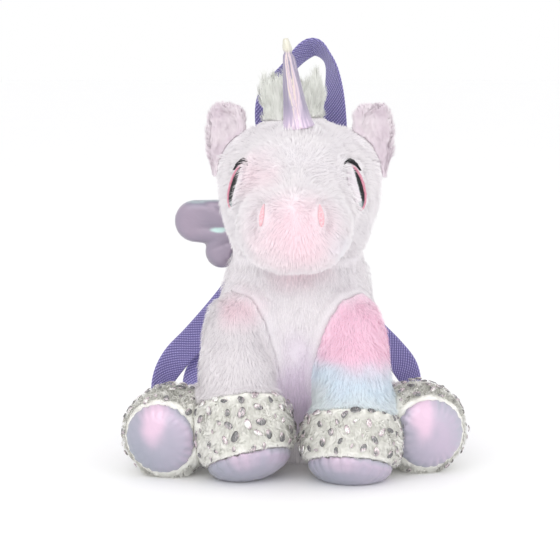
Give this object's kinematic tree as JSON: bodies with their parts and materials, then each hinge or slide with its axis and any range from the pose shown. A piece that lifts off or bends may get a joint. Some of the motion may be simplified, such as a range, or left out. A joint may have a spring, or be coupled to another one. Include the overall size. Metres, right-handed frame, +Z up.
{
  "type": "animal backpack",
  "caption": "Child's plush animal backpack with legs, wings, a horn, a zipped body, shoulder straps and a carrying loop.",
  "frame": {"origin": "on the floor under the middle of the whole backpack's box", "axes": "+Z up, the face looks along -Y, +X to the right of someone facing it"},
  "size_m": [0.285, 0.2318, 0.3564],
  "materials": {
    "plush": "short soft pile, tie-dyed pale pink, lilac and blue",
    "ear_plush": "short soft pile",
    "mane": "long loose pile",
    "cuff": "shaggy pile printed with silver foil spots",
    "shine": "iridescent satin",
    "embroidery_dark": "satin-stitch embroidery",
    "embroidery_pink": "satin-stitch embroidery",
    "webbing": "woven webbing",
    "zip": "woven tape with moulded teeth"
  },
  "bodies": {
    "root": {"body": "plush", "head": "plush", "ear_left": "ear_plush", "ear_right": "ear_plush", "eye_iris_left": "embroidery_dark", "eye_iris_right": "embroidery_dark", "eye_rim_left": "embroidery_pink", "eye_rim_right": "embroidery_pink", "eye_lash_left": "embroidery_dark", "eye_lash_right": "embroidery_dark", "nostril_left": "embroidery_pink", "nostril_right": "embroidery_pink", "horn": "shine", "mane": "mane", "front_leg_left": "plush", "front_cuff_left": "cuff", "front_sole_left": "shine", "front_leg_right": "plush", "front_cuff_right": "cuff", "front_sole_right": "shine", "hind_leg_left": "plush", "hind_cuff_left": "cuff", "hind_sole_left": "shine", "hind_leg_right": "plush", "hind_cuff_right": "cuff", "hind_sole_right": "shine", "wing_left": "shine", "wing_right": "shine", "strap_left": "webbing", "strap_right": "webbing", "handle": "webbing", "zip": "zip", "zip_slider": "zip"}
  },
  "joints": []
}
